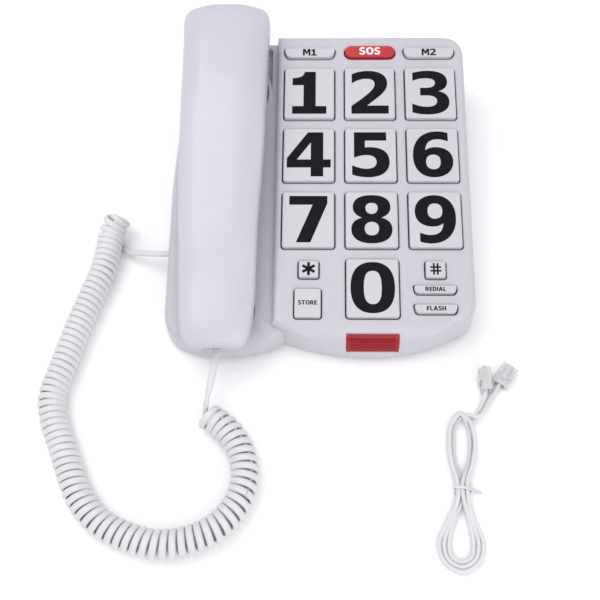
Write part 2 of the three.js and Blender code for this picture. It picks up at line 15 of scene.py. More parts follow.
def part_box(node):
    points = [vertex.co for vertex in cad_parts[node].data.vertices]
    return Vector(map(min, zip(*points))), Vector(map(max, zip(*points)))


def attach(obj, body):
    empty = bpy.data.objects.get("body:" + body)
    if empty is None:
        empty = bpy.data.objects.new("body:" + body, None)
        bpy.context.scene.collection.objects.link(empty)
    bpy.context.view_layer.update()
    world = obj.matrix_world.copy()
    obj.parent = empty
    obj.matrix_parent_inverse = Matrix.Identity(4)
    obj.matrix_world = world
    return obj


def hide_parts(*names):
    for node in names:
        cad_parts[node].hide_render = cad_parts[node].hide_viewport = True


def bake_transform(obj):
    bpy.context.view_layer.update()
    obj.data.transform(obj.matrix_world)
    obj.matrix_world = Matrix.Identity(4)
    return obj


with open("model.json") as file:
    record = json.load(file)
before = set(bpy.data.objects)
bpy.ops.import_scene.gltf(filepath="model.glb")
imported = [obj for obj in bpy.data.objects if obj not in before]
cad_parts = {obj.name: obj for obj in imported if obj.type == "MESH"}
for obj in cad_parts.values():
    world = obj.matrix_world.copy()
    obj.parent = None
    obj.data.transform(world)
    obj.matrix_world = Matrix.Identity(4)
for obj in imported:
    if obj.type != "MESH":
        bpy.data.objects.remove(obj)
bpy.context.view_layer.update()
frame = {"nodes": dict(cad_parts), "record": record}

# ---------------------------------------------------------------- dimensions
LEFT, RIGHT, FRONT, REAR = -93.2, 92.2, -101.0, 110.0
STEP_X = -28.5
TILT = math.radians(7)
SLOPE = math.tan(TILT)
PANEL = 36.5
DROP = 6.5
CRADLE = 8.0
PART_LINE = 5.8
WALL = 2.5
EDGE = 4.0
GAP = 0.3
KEY_X = 31.0
COLUMN_PITCH, ROW_PITCH, ROW_2_Y = 38.5, 44.5, 21.2
KEY_WIDTH, KEY_LENGTH, KEY_PROUD = 31.9, 37.4, 2.4
CLEARANCE = 0.6
CAP_GAP = 0.15
HANDSET_X, HANDSET_Y, HANDSET_HALF = -60.6, 8.9, 114.5
EAR_Y, MOUTH_Y, EAR_R, MOUTH_R = 64.0, -85.5, 24.0, 19.5
SEAM_Z, SEAM_TILT = 22.6, 0.03
JACK_Y, JACK_Z = -34.5, 12.6
LINE_SOCKET_X, RINGER_X = 34, 62
HANDSET_SCREWS = (28, -48)
HOLE_SPACING = 4.6
LAMP_HALF, LAMP_SILL, LAMP_REAR, LAMP_RIBS = 15.3, 11.5, FRONT + 6.3, 15
PRINT = 0.06

shell_low, shell_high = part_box("base_top")
ORIGIN = Vector((shell_low.x * 1000 - LEFT, shell_high.y * 1000 - REAR, 0))

KEYPAD = Matrix.Translation((0, 0, PANEL)) @ Matrix.Rotation(TILT, 4, "X")
SEAT = PANEL - DROP - CRADLE + GAP + SLOPE * HANDSET_Y
HANDSET = Matrix.Translation((HANDSET_X, HANDSET_Y, SEAT)) @ Matrix.Rotation(TILT, 4, "X")
UPRIGHT = Matrix.Identity(4)
ALONG_X = Matrix(((0, 0, 1, 0), (1, 0, 0, 0), (0, 1, 0, 0), (0, 0, 0, 1)))
ALONG_Y = Matrix(((1, 0, 0, 0), (0, 0, 1, 0), (0, 1, 0, 0), (0, 0, 0, 1)))


def to_frame(point):
    return (Vector(point) + ORIGIN) / 1000


# ---------------------------------------------------------------- camera
CAMERA_ANGLES = (62.14, 3.0, -2.46)
CAMERA_TARGET = (-12.65, -60.0, 0)
CAMERA_DISTANCE = 0.6215


def make_camera():
    elevation, turn, roll = (math.radians(a) for a in CAMERA_ANGLES)
    target = to_frame(CAMERA_TARGET)
    forward = Vector((-math.sin(turn) * math.cos(elevation), math.cos(turn) * math.cos(elevation),
                      -math.sin(elevation)))
    right = Vector((math.cos(turn), math.sin(turn), 0))
    up = right.cross(forward)
    right_rolled = right * math.cos(roll) + up * math.sin(roll)
    up_rolled = up * math.cos(roll) - right * math.sin(roll)
    data = bpy.data.cameras.new("camera")
    data.sensor_width = 36
    data.lens = 60
    data.clip_start, data.clip_end = 0.01, 20
    camera = bpy.data.objects.new("camera", data)
    bpy.context.scene.collection.objects.link(camera)
    turn_matrix = Matrix((right_rolled, up_rolled, -forward)).transposed().to_4x4()
    camera.matrix_world = Matrix.Translation(target - forward * CAMERA_DISTANCE) @ turn_matrix
    bpy.context.scene.camera = camera


make_camera()


# ---------------------------------------------------------------- mesh helpers
def mesh_object(name, verts, faces, place=UPRIGHT):
    """A mesh object whose vertices are given in millimetres, in the place's coordinates."""
    mesh = bpy.data.meshes.new(name)
    points = [to_frame(place @ Vector(v)) for v in verts]
    mesh.from_pydata(points, [], faces)
    mesh.validate()
    work = bmesh.new()
    work.from_mesh(mesh)
    bmesh.ops.recalc_face_normals(work, faces=work.faces)
    work.to_mesh(mesh)
    work.free()
    obj = bpy.data.objects.new(name, mesh)
    bpy.context.scene.collection.objects.link(obj)
    return obj


def stack(name, levels, place=UPRIGHT):
    """A closed solid through a pile of outlines; each level is (points, z) with equal counts."""
    count = len(levels[0][0])
    verts = [(x, y, z) for points, z in levels for x, y in points]
    faces = [[k + i, k + (i + 1) % count, k + count + (i + 1) % count, k + count + i]
             for k in range(0, count * (len(levels) - 1), count) for i in range(count)]
    faces.append(list(range(count))[::-1])
    faces.append([count * (len(levels) - 1) + i for i in range(count)])
    return mesh_object(name, verts, faces, place)


def box(name, x0, x1, y0, y1, z0, z1, place=UPRIGHT):
    ring = [(x0, y0), (x1, y0), (x1, y1), (x0, y1)]
    return stack(name, [(ring, z0), (ring, z1)], place)


def disc(name, x, y, z0, z1, radius, sides=48, top=None, place=UPRIGHT):
    def ring(r):
        return [(x + r * math.cos(2 * math.pi * i / sides), y + r * math.sin(2 * math.pi * i / sides))
                for i in range(sides)]
    return stack(name, [(ring(radius), z0), (ring(radius if top is None else top), z1)], place)


def combine(body, tool, operation, keep_tool=False):
    """Cuts, joins or intersects body with tool, and removes the tool."""
    modifier = body.modifiers.new("combine", "BOOLEAN")
    modifier.operation = operation
    modifier.solver = "MANIFOLD"
    modifier.object = tool
    bpy.context.view_layer.update()
    graph = bpy.context.evaluated_depsgraph_get()
    result = bpy.data.meshes.new_from_object(body.evaluated_get(graph))
    body.modifiers.remove(modifier)
    old = body.data
    body.data = result
    bpy.data.meshes.remove(old)
    if not keep_tool:
        drop(tool)
    return body


def drop(obj):
    mesh = obj.data
    bpy.data.objects.remove(obj)
    bpy.data.meshes.remove(mesh)


def duplicate(obj):
    copy = obj.copy()
    copy.data = obj.data.copy()
    bpy.context.scene.collection.objects.link(copy)
    return copy


def join(name, objects):
    """One object of several separate bodies."""
    work = bmesh.new()
    for o in objects:
        work.from_mesh(o.data)
    mesh = bpy.data.meshes.new(name)
    work.to_mesh(mesh)
    work.free()
    for o in objects:
        drop(o)
    obj = bpy.data.objects.new(name, mesh)
    bpy.context.scene.collection.objects.link(obj)
    return obj


def soften(obj, angle=32, weighted=True):
    obj.data.shade_smooth()
    obj.data.set_sharp_from_angle(angle=math.radians(angle))
    if weighted:
        modifier = obj.modifiers.new("normals", "WEIGHTED_NORMAL")
        modifier.keep_sharp = True
        modifier.weight = 80
    return obj


def finish_piece(obj, body, material, nodes=()):
    obj.data.materials.clear()
    obj.data.materials.append(material)
    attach(obj, body)
    if nodes:
        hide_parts(*nodes)
    return obj


def outline(start, *segments, steps=14):
    """Points along a closed outline; a segment of 1, 2 or 3 points is a line, quadratic or cubic."""
    points = [Vector(start)]
    for segment in segments:
        a = points[-1].copy()
        c = [Vector(p) for p in segment]
        if len(c) == 1:
            points.append(c[0])
            continue
        for i in range(1, steps + 1):
            t = i / steps
            s = 1 - t
            if len(c) == 2:
                points.append(a * s * s + c[0] * 2 * s * t + c[1] * t * t)
            else:
                points.append(a * s ** 3 + c[0] * 3 * s * s * t + c[1] * 3 * s * t * t + c[2] * t ** 3)
    if (points[0] - points[-1]).length < 1e-6:
        points.pop()
    return [(p.x, p.y) for p in points]


def grown(points, amount):
    """The outline moved outwards by amount, with mitred corners."""
    loop = np.array(points)
    area = np.sum(loop[:, 0] * np.roll(loop[:, 1], -1) - np.roll(loop[:, 0], -1) * loop[:, 1])
    before = loop - np.roll(loop, 1, axis=0)
    after = np.roll(loop, -1, axis=0) - loop
    before /= np.linalg.norm(before, axis=1)[:, None]
    after /= np.linalg.norm(after, axis=1)[:, None]
    turn = math.copysign(1, area)
    n1 = np.stack([before[:, 1], -before[:, 0]], axis=1) * turn
    n2 = np.stack([after[:, 1], -after[:, 0]], axis=1) * turn
    middle = n1 + n2
    middle /= np.maximum(1e-9, np.sum(middle * n1, axis=1))[:, None]
    return [tuple(p) for p in loop + middle * amount]


def rounded_top(points, bottom, top, edge, steps=8):
    """Levels of a block whose upper rim is rounded by edge."""
    levels = [(points, bottom), (points, top - edge)]
    for i in range(1, steps + 1):
        a = math.pi / 2 * i / steps
        levels.append((grown(points, -edge * (1 - math.cos(a))), top - edge + edge * math.sin(a)))
    return levels


def rounded_rectangle(width, length, radius, x, y, steps=6):
    w, l = width / 2 - radius, length / 2 - radius
    points = []
    for cx, cy, start in ((w, l, 0), (-w, l, 90), (-w, -l, 180), (w, -l, 270)):
        for i in range(steps + 1):
            a = math.radians(start + 90 * i / steps)
            points.append((x + cx + radius * math.cos(a), y + cy + radius * math.sin(a)))
    return points


def well_ring(y, radius):
    return [(radius * math.cos(a), y + radius * math.sin(a)) for a in np.linspace(0, 2 * math.pi, 97)[:-1]]


def smooth(a, b, t):
    """A soft step from 0 at a to 1 at b."""
    s = min(1.0, max(0.0, (t - a) / (b - a)))
    return s * s * (3 - 2 * s)


def spline(points, spacing):
    """Centripetal Catmull-Rom curve through the points, sampled at about the spacing."""
    p = [np.array(q, float) for q in points]
    p = [2 * p[0] - p[1]] + p + [2 * p[-1] - p[-2]]
    out = []
    for i in range(1, len(p) - 2):
        a, b, c, d = p[i - 1:i + 3]
        t0 = 0.0
        t1 = t0 + np.linalg.norm(b - a) ** 0.5
        t2 = t1 + np.linalg.norm(c - b) ** 0.5
        t3 = t2 + np.linalg.norm(d - c) ** 0.5
        count = max(2, int(round(np.linalg.norm(c - b) / spacing)))
        for k in range(count):
            t = t1 + (t2 - t1) * k / count
            a1 = (t1 - t) / (t1 - t0) * a + (t - t0) / (t1 - t0) * b
            a2 = (t2 - t) / (t2 - t1) * b + (t - t1) / (t2 - t1) * c
            a3 = (t3 - t) / (t3 - t2) * c + (t - t2) / (t3 - t2) * d
            b1 = (t2 - t) / (t2 - t0) * a1 + (t - t0) / (t2 - t0) * a2
            b2 = (t3 - t) / (t3 - t1) * a2 + (t - t1) / (t3 - t1) * a3
            out.append((t2 - t) / (t2 - t1) * b1 + (t - t1) / (t2 - t1) * b2)
    out.append(p[-2])
    return np.array(out)


def tube(name, path, thin, wide_half, thin_half, sides=12):
    """An oval cord along path; thin gives the direction of its short axis at each point."""
    path = np.array(path, float)
    tangent = np.gradient(path, axis=0)
    tangent /= np.linalg.norm(tangent, axis=1)[:, None]
    thin = np.array(thin, float)
    thin -= np.sum(thin * tangent, axis=1)[:, None] * tangent
    thin /= np.linalg.norm(thin, axis=1)[:, None]
    wide = np.cross(tangent, thin)
    verts = []
    for p, w, n in zip(path, wide, thin):
        for i in range(sides):
            a = 2 * math.pi * i / sides
            verts.append(p + w * wide_half * math.cos(a) + n * thin_half * math.sin(a))
    rings = len(path)
    faces = [[k + i, k + (i + 1) % sides, k + sides + (i + 1) % sides, k + sides + i]
             for k in range(0, sides * (rings - 1), sides) for i in range(sides)]
    faces.append(list(range(sides))[::-1])
    faces.append([(rings - 1) * sides + i for i in range(sides)])
    return mesh_object(name, verts, faces)


# ---------------------------------------------------------------- materials
def material(name, colour, rough, grain=0.0, grain_scale=900.0, tone=0.03, tone_scale=25.0,
             rough_spread=0.05, metal=0.0, coat=0.0, transmission=0.0, streak=(1, 1, 1), ior=1.47):
    """A moulded or coated surface: slight drift of tone, uneven gloss and a fine surface grain."""
    made = bpy.data.materials.new(name)
    made.use_nodes = True
    nodes, links = made.node_tree.nodes, made.node_tree.links
    shader = nodes["Principled BSDF"]
    shader.inputs["Metallic"].default_value = metal
    shader.inputs["IOR"].default_value = ior
    shader.inputs["Coat Weight"].default_value = coat
    shader.inputs["Coat Roughness"].default_value = 0.12
    shader.inputs["Transmission Weight"].default_value = transmission
    place = nodes.new("ShaderNodeTexCoord")
    mapping = nodes.new("ShaderNodeMapping")
    mapping.inputs["Scale"].default_value = streak
    links.new(place.outputs["Object"], mapping.inputs["Vector"])

    drift = nodes.new("ShaderNodeTexNoise")
    drift.inputs["Scale"].default_value = tone_scale
    drift.inputs["Detail"].default_value = 3
    links.new(mapping.outputs["Vector"], drift.inputs["Vector"])
    ramp = nodes.new("ShaderNodeValToRGB")
    ramp.color_ramp.elements[0].position = 0.3
    ramp.color_ramp.elements[1].position = 0.7
    ramp.color_ramp.elements[0].color = [max(0, c * (1 - tone)) for c in colour[:3]] + [1]
    ramp.color_ramp.elements[1].color = [min(1, c * (1 + tone)) for c in colour[:3]] + [1]
    links.new(drift.outputs["Fac"], ramp.inputs["Fac"])
    links.new(ramp.outputs["Color"], shader.inputs["Base Color"])

    patch = nodes.new("ShaderNodeTexNoise")
    patch.inputs["Scale"].default_value = 130
    patch.inputs["Detail"].default_value = 4
    links.new(mapping.outputs["Vector"], patch.inputs["Vector"])
    gloss = nodes.new("ShaderNodeMapRange")
    gloss.inputs["From Min"].default_value = 0.3
    gloss.inputs["From Max"].default_value = 0.7
    gloss.inputs["To Min"].default_value = max(0.02, rough - rough_spread)
    gloss.inputs["To Max"].default_value = min(1.0, rough + rough_spread)
    links.new(patch.outputs["Fac"], gloss.inputs["Value"])
    links.new(gloss.outputs["Result"], shader.inputs["Roughness"])

    if grain:
        fine = nodes.new("ShaderNodeTexNoise")
        fine.inputs["Scale"].default_value = grain_scale
        fine.inputs["Detail"].default_value = 3
        links.new(mapping.outputs["Vector"], fine.inputs["Vector"])
        bump = nodes.new("ShaderNodeBump")
        bump.inputs["Strength"].default_value = grain
        bump.inputs["Distance"].default_value = 0.0002
        links.new(fine.outputs["Fac"], bump.inputs["Height"])
        links.new(bump.outputs["Normal"], shader.inputs["Normal"])
    return made


LOOKS = {
    "shell": material("moulded_shell", (0.53, 0.508, 0.555), 0.36, grain=0.10, grain_scale=1400, tone=0.012),
    "handset_shell": material("handset_plastic", (0.545, 0.532, 0.595), 0.30, grain=0.012, grain_scale=1400,
                              tone=0.01),
    "key_cap": material("key_plastic", (0.545, 0.54, 0.575), 0.36, grain=0.08, grain_scale=1600, tone=0.012),
    "sos_cap": material("red_key_plastic", (0.50, 0.025, 0.035), 0.34, grain=0.06, tone=0.05, tone_scale=60),
    "lamp_lens": material("red_lens", (0.34, 0.003, 0.008), 0.14, grain=0.05, tone=0.12, tone_scale=220,
                          coat=0.15, ior=1.35),
    "dark_plastic": material("dark_plastic", (0.025, 0.025, 0.028), 0.45, grain=0.2, tone=0.1),
    "clear_plastic": material("clear_plastic", (0.93, 0.94, 0.95), 0.18, tone=0.02, transmission=0.55, ior=1.45,
                              rough_spread=0.03),
    "cord_jacket": material("cord_jacket", (0.66, 0.655, 0.67), 0.42, grain=0.12, grain_scale=1100, tone=0.02),
    "circuit_board": material("circuit_board", (0.03, 0.14, 0.05), 0.4, grain=0.2, tone=0.2, tone_scale=300),
    "silicone": material("silicone", (0.45, 0.46, 0.49), 0.6, grain=0.15, tone=0.04),
    "foot_rubber": material("foot_rubber", (0.04, 0.04, 0.042), 0.8, grain=0.5, grain_scale=700, tone=0.15),
    "screw_steel": material("screw_steel", (0.55, 0.56, 0.58), 0.32, grain=0.1, metal=1, tone=0.06,
                            streak=(1, 1, 6)),
    "weight_iron": material("weight_iron", (0.25, 0.26, 0.27), 0.55, grain=0.6, grain_scale=350, metal=1, tone=0.2),
    "ribbon": material("ribbon_plastic", (0.58, 0.56, 0.50), 0.5, grain=0.2, tone=0.05, streak=(8, 1, 1)),
}
INK = material("black_ink", (0.006, 0.006, 0.007), 0.6, grain=0.15, grain_scale=1800, tone=0.2, tone_scale=400,
               ior=1.2)
WHITE_INK = material("white_ink", (0.84, 0.84, 0.85), 0.45, grain=0.1, tone=0.02)
GOLD = material("gold_contact", (0.80, 0.56, 0.22), 0.25, grain=0.1, metal=1, tone=0.08, tone_scale=300)

for subpart in frame["record"]["subparts"]:
    node = frame["nodes"][subpart["node"]]
    node.data.materials.clear()
    node.data.materials.append(LOOKS[subpart["material_slot"]])
    node.data.shade_smooth()
    node.data.set_sharp_from_angle(angle=math.radians(30))
for name in ("base_bottom", "foot_1", "foot_2", "foot_3", "foot_4", "base_cord_jack", "line_jack",
             "ringer_slider", "hook_plunger", "base_plug", "handset_plug", "hook_switch"):
    bevel = frame["nodes"][name].modifiers.new("edges", "BEVEL")
    bevel.width = 0.0003
    bevel.segments = 2
    bevel.limit_method = "ANGLE"
    bevel.angle_limit = math.radians(50)
    bevel.harden_normals = True


# ---------------------------------------------------------------- curly handset cord
COIL_R = 6.95
CORD_WIDE, CORD_THIN = 2.05, 1.35
POINTS_A_TURN = 18
BLEND_FROM = 0.845
COIL_Z = 8.35
coil_route = [
    (-127.5, -9.0, 15.5), (-130.4, -12.6, 12.4), (-132.6, -18.5, 9.8), (-133.7, -27, 8.6), (-135.5, -44, COIL_Z),
    (-141, -63, COIL_Z), (-147, -85, COIL_Z), (-152, -107, COIL_Z), (-156.5, -130, COIL_Z), (-153, -145, COIL_Z),
    (-146.5, -160, COIL_Z), (-140.5, -174.5, COIL_Z), (-133.5, -189, COIL_Z), (-121.5, -202.5, COIL_Z),
    (-106, -210.5, COIL_Z), (-88.5, -214.8, COIL_Z), (-70, -212, COIL_Z), (-54.5, -203.5, COIL_Z),
    (-44.8, -190, COIL_Z), (-41.7, -175, COIL_Z), (-45.5, -159.5, COIL_Z), (-54.5, -147.5, COIL_Z),
    (-64.5, -140.5, COIL_Z),
]


def coil_turns():
    """Points of the helix, the outward direction at each, and each one's share of the coil's length."""
    route = spline(coil_route, 0.12)
    steps = np.linalg.norm(np.diff(route, axis=0), axis=1)
    along = np.concatenate([[0], np.cumsum(steps)])
    total = along[-1]
    angle = 0.0
    samples = []
    distance = 0.0
    while distance < total:
        share = distance / total
        pitch = 4.15 + 0.65 * smooth(0.40, 0.62, share) + 2.0 * (1 - smooth(0.0, 0.05, share))
        samples.append((distance, angle))
        angle += 2 * math.pi / POINTS_A_TURN
        distance += pitch / POINTS_A_TURN
    at = np.array([s[0] for s in samples])
    turn = np.array([s[1] for s in samples]) + math.radians(100)
    centre = np.stack([np.interp(at, along, route[:, i]) for i in range(3)], axis=1)
    tangent = np.stack([np.interp(at + 0.4, along, route[:, i]) - np.interp(at - 0.4, along, route[:, i])
                        for i in range(3)], axis=1)
    tangent /= np.linalg.norm(tangent, axis=1)[:, None]
    side = np.cross(tangent, [0, 0, 1.0])
    side /= np.linalg.norm(side, axis=1)[:, None]
    up = np.cross(side, tangent)
    outward = np.cos(turn)[:, None] * side + np.sin(turn)[:, None] * up
    return centre + outward * COIL_R, outward, at / total


def blend_directions(first, last, count):
    """Directions that turn from first towards last."""
    return [np.array(first) * (1 - i / count) + np.array(last) * (i / count) for i in range(count)]


def make_curly_cord():
    turns, outward, share = coil_turns()
    lead = [(LEFT - 1.3, JACK_Y, JACK_Z), (LEFT - 9, JACK_Y + 0.4, 12.0), (LEFT - 20, JACK_Y + 3.0, 8.6),
            (-121.5, -28.6, 4.4), (-127, -22.5, 2.2), (-132.5, -14.5, 2.2), (-136.2, -7.5, 4.6)]
    start = spline(lead + [tuple(turns[0]), tuple(turns[1])], 1.6)[:-2]
    start_thin = blend_directions((0, 0, 1), outward[0], len(start))
    cut = int(np.argmax(share > BLEND_FROM))
    path_a = np.concatenate([start, turns[:cut + 1]])
    thin_a = np.concatenate([start_thin, outward[:cut + 1]])

    plug_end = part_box("handset_plug")
    jack = Vector(((plug_end[0].x + plug_end[1].x) / 2, plug_end[0].y, plug_end[0].z)) * 1000 - ORIGIN
    tail = [tuple(turns[-2]), tuple(turns[-1]), (-65.2, -134.5, 14.4), (-64.0, -128.0, 16.2),
            (-62.2, -119.0, 18.2), (jack.x, jack.y - 2.5, 19.6), (jack.x, jack.y + 1.0, 20.2)]
    end = spline(tail, 1.6)
    skip = int(np.argmin(np.linalg.norm(end - turns[-1], axis=1))) + 1
    end = end[skip:]
    end_thin = blend_directions(outward[-1], (0.35, 0, 1), len(end))
    path_b = np.concatenate([turns[cut:], end])
    thin_b = np.concatenate([outward[cut:], end_thin])

    look = LOOKS["cord_jacket"]
    first = soften(tube("curly_cord", path_a, thin_a, CORD_WIDE, CORD_THIN), 50, False)
    finish_piece(first, "base", look, ("cord_base_lead", "cord_coil"))

    second = soften(tube("curly_cord_handset_end", path_b, thin_b, CORD_WIDE, CORD_THIN), 50, False)
    second.data.materials.append(look)
    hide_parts("cord_handset_lead")
    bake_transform(second)


# ---------------------------------------------------------------- loose line cord
LOW, HIGH = 2.7, 5.3
BLADE_PITCH = 1.27
BLADE_X = [(i - 2.5) * BLADE_PITCH for i in range(6)]


def hank_turn(turn):
    """One turn of the hank, down its right side, round the bottom and back up its left side."""
    lower = 12.0 - 2.75 * turn
    upper = (7.3, 7.0, 4.6)[turn]
    upper_z = (LOW, HIGH, LOW)[turn]
    waist = (2.7, 2.7, 0.05)[turn]
    right_z = (LOW, HIGH, HIGH)[turn]
    left_z = (LOW, HIGH, LOW)[turn]
    return [
        (81.7 + upper * 0.8, -143.5, upper_z), (81.7 + upper, -154, upper_z), (81.0 + upper * 0.85, -165, upper_z),
        (80.05 + waist, -178, right_z), (80.05 + waist, -186, right_z), (78.9 + lower * 0.58, -198, LOW),
        (77.9 + lower, -212, LOW), (77.6 + lower * 0.78, -221.5 + 1.2 * turn, LOW),
        (77.4, -226.9 + 2.7 * turn, LOW),
        (77.4 - lower * 0.78, -221.5 + 1.2 * turn, LOW), (77.6 - lower, -212, LOW), (78.6 - lower * 0.58, -198, LOW),
        (80.05 - waist, -186, left_z), (80.05 - waist, -178, left_z), (80.6 - upper * 0.85, -165, upper_z),
        (81.2 - upper, -154, upper_z), (81.5 - upper * 0.8, -143.5, upper_z),
        (81.7, -135.4 - 1.3 * turn, upper_z),
    ]


def plug_place(x, y, z, turn, on_side):
    """Where a plug lies: its cord end at x, y, turned about Z, flat or tipped onto its side."""
    place = Matrix.Translation((x, y, z)) @ Matrix.Rotation(turn, 4, "Z")
    if on_side:
        place = place @ Matrix.Rotation(-math.pi / 2, 4, "Y") @ Matrix.Translation((0, 0, -3.3))
    return place


def modular_plug(name, place):
    """A clear modular plug: stepped body with a mouth for the cord, sprung latch, and gold blades in slots."""
    width, length, height = 9.7, 14.0, 6.6
    w = width / 2
    side = [(0, 0.6), (0.6, 0), (length - 0.7, 0), (length, 0.7), (length, 4.6), (length - 1.6, height),
            (5.2, height), (4.6, height - 0.9), (0.6, height - 0.9), (0, height - 1.5)]
    turned = place @ ALONG_X
    body = stack(name, [(grown(side, -0.25), -w), (side, -w + 0.25), (side, w - 0.25), (grown(side, -0.25), w)],
                 turned)
    combine(body, box("mouth", -3.1, 3.1, -1, 8.6, 1.5, 4.6, place), "DIFFERENCE")
    for x in BLADE_X:
        combine(body, box("blade_slot", x - 0.28, x + 0.28, length - 5.2, length + 1, -1, 1.8, place), "DIFFERENCE")
    arm = [(length - 0.4, height - 0.5), (length - 0.9, height + 0.5), (3.4, height + 1.2), (3.0, height + 0.6),
           (length - 3.2, height - 0.7)]
    latch = stack("latch", [(arm, -1.6), (arm, 1.6)], turned)
    body = join(name, [body, latch])
    blades = [box("blade", x - 0.17, x + 0.17, length - 4.6, length - 0.4, 0.25, 3.4, place)
              for x in BLADE_X[1:5]]
    return soften(body), soften(join(name + "_blades", blades), weighted=False)


def make_tie():
    """A plastic-coated wire tie: one flat turn round the waist of the hank and its twisted ends."""
    x, y, z = 80.05, -182.0, 4.0
    angles = [math.radians(a) for a in range(-150, 231, 10)]
    loop = [(x + 5.0 * math.cos(a), y + 0.5 * a, z + 3.5 * math.sin(a)) for a in angles]
    band = tube("band", loop, [(math.cos(a), 0, math.sin(a)) for a in angles], 0.9, 0.3, 8)
    ends = [band]
    for phase in (0, math.pi):
        twist = [(x + 4.6 + 0.55 * t, y + 0.9 + 0.55 * math.cos(1.5 * t + phase) - 0.1 * t,
                  max(0.8, 3.4 - 0.28 * t + 0.55 * math.sin(1.5 * t + phase))) for t in np.arange(0, 12.1, 0.25)]
        ends.append(tube("end", twist, [(0, 0.3, 1)] * len(twist), 0.5, 0.4, 6))
    tie = soften(join("wire_tie", ends), 50, False)
    return finish_piece(tie, "line_cord", LOOKS["cord_jacket"], ("line_tie",))


def make_line_cord():
    first = [(97.2, -121.0, 4.6), (96.9, -124.0, 3.6), (95.4, -128.2, 2.6), (92.4, -134.0, 2.4), (90.2, -139.0, 2.5)]
    last = [(86.2, -137.0, 3.4), (90.6, -138.6, 5.0), (94.4, -136.2, 4.2), (98.6, -128.6, 2.6), (102.8, -121.8, 2.6),
            (106.3, -116.6, 3.2)]
    route = spline(first + hank_turn(0) + hank_turn(1) + hank_turn(2) + last, 1.6)
    cord = soften(tube("line_cord", route, [(0, 0, 1)] * len(route), 1.28, 1.28, 10), 50, False)
    finish_piece(cord, "line_cord", LOOKS["cord_jacket"],
                 ("line_hank", "line_lead_1", "line_lead_2"))
    tie = make_tie()
    pieces = [tie]
    places = (plug_place(97.2, -122.4, 5.1, 0, True), plug_place(105.5, -117.8, 0.2, -0.6, False))
    for number, place in enumerate(places, 1):
        plug, blades = modular_plug(f"modular_plug_{number}", place)
        finish_piece(plug, "line_cord", LOOKS["clear_plastic"], (f"line_plug_{number}",))
        finish_piece(blades, "line_cord", GOLD)
        pieces += [plug, blades]


make_curly_cord()
make_line_cord()


# ---------------------------------------------------------------- base shell
def keypad_outline(inset):
    left, right, rear, front = STEP_X + inset, RIGHT - inset, REAR - inset, FRONT + inset
    return outline((left, front + 13),
                   ((5, front - 4), (55, front - 4), (right - 11, front + 13)),
                   ((right, front + 17), (right, front + 28)), ((right, rear - 15),),
                   ((right, rear), (right - 15, rear)), ((left, rear),), steps=24)


def channel_outline(inset, right):
    left, rear, front = LEFT + inset, REAR - inset, FRONT + inset
    return outline((right, front + 10), ((right, rear),), ((left + 24, rear),),
                   ((left + 6, rear), (left + 5, rear - 20)), ((left, 5),), ((left, front + 24),),
                   ((left, front + 8), (left + 14, front + 3.5)),
                   ((left + 28, front - 2), (right - 14, front - 2), (right, front + 10)), steps=20)


def sloped_block(name, points, top, edge):
    block = stack(name, rounded_top(points, top - 80, top, edge))
    for v in block.data.vertices:
        v.co.z += SLOPE * (v.co.y - ORIGIN.y / 1000)
    return block


def front_roll(drop_by, inset):
    """All that lies behind the rounded front face, as wide as needed to trim a block."""
    def height(y):
        return PANEL - drop_by - inset + SLOPE * y
    start = FRONT + 14
    profile = outline((140, -60), ((140, 80),), ((start, 80),), ((start, height(start)),),
                      ((FRONT + inset + 3, height(FRONT) + 1), (FRONT + inset + 0.6, PART_LINE + 4)),
                      ((FRONT + inset - 2.5, PART_LINE - 12),), ((FRONT + inset - 2.5, -60),), steps=28)
    return stack("front_roll", [(profile, -120), (profile, 120)], ALONG_X)


def base_mass(inset):
    edge = 0.6 if inset > 0 else EDGE
    high = sloped_block("base_shell", keypad_outline(inset), PANEL - inset, edge)
    combine(high, front_roll(0, inset), "INTERSECT")
    right = STEP_X + WALL + 2 if inset > 0 else STEP_X + 7
    low = sloped_block("low", channel_outline(inset, right), PANEL - DROP - inset, edge)
    combine(low, front_roll(DROP, inset), "INTERSECT")
    return combine(high, low, "UNION")


def key_place(column, row):
    return KEY_X + column * COLUMN_PITCH, ROW_2_Y + (1 - row) * ROW_PITCH


# name, x, y, width, length, corner radius, taper, legend, legend height
KEYS = []
for digit in range(1, 10):
    kx, ky = key_place((digit - 1) % 3 - 1, (digit - 1) // 3)
    KEYS.append((str(digit), kx, ky, KEY_WIDTH, KEY_LENGTH, 1.8, 0, str(digit), 31))
zero_x, zero_y = key_place(0, 3)
memory_y = ROW_2_Y + ROW_PITCH + 30.4
KEYS += [
    ("0", zero_x, zero_y, KEY_WIDTH - 0.5, KEY_LENGTH, 1.8, 0, "0", 31.2),
    ("star", zero_x - 38, zero_y + 11.9, 12, 10.9, 1.2, 0, "*", 8.4),
    ("hash", zero_x + 37.5, zero_y + 11.9, 12, 10.9, 1.2, 0, "#", 7.4),
    ("store", zero_x - 38.4, zero_y - 9.6, 15.8, 18.4, 1.4, 0, "STORE", 2.7),
    ("redial", zero_x + 37, zero_y - 0.8, 25.2, 5.3, 1.2, 2, "REDIAL", 2.7),
    ("flash", zero_x + 37, zero_y - 13, 25.2, 5.8, 1.2, 2, "FLASH", 2.8),
    ("m1", KEY_X - COLUMN_PITCH, memory_y, KEY_WIDTH + 0.7, 7.2, 1.6, 3, "M1", 5),
    ("sos", KEY_X + 0.4, memory_y + 1, KEY_WIDTH + 0.3, 8.8, 4.2, 0, "SOS", 5.4),
    ("m2", KEY_X + COLUMN_PITCH, memory_y, KEY_WIDTH + 0.7, 7.2, 1.6, 3, "M2", 5),
]


